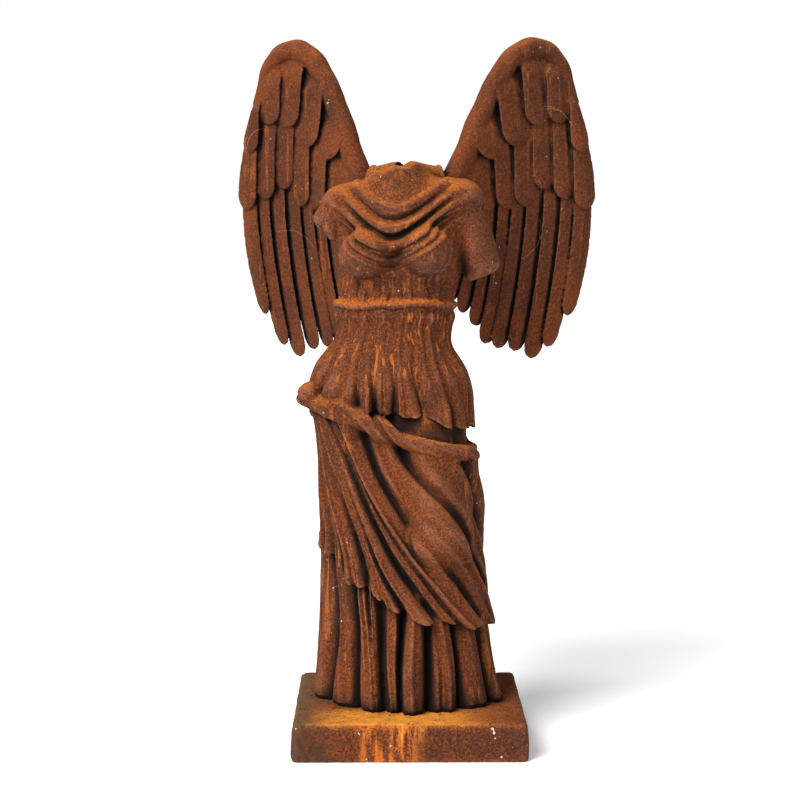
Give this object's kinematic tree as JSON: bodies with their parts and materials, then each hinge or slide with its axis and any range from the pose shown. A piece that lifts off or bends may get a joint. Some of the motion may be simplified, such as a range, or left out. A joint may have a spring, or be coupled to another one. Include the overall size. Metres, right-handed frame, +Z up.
{
  "type": "garden statue",
  "caption": "Cast iron garden statue: a draped winged figure, broken off at the neck and arms, standing on a square plinth.",
  "frame": {"origin": "middle of the plinth's flat underside", "axes": "+Z up, -Y towards the front of the statue, +X to the right as seen from the front"},
  "size_m": [0.6382, 0.4735, 1.2182],
  "materials": {
    "plinth_iron": "rusted, yellow-orange rust pooled on the top and run down the front, grey-green dirt at one side",
    "figure_iron": "matte rust, dark brown with orange dust in the folds and thin rust runs",
    "wing_iron": "matte rust, scratched and paler on the raised feathers"
  },
  "bodies": {
    "root": {"plinth": "plinth_iron", "figure": "figure_iron", "wing_left": "wing_iron", "wing_right": "wing_iron"}
  },
  "joints": []
}
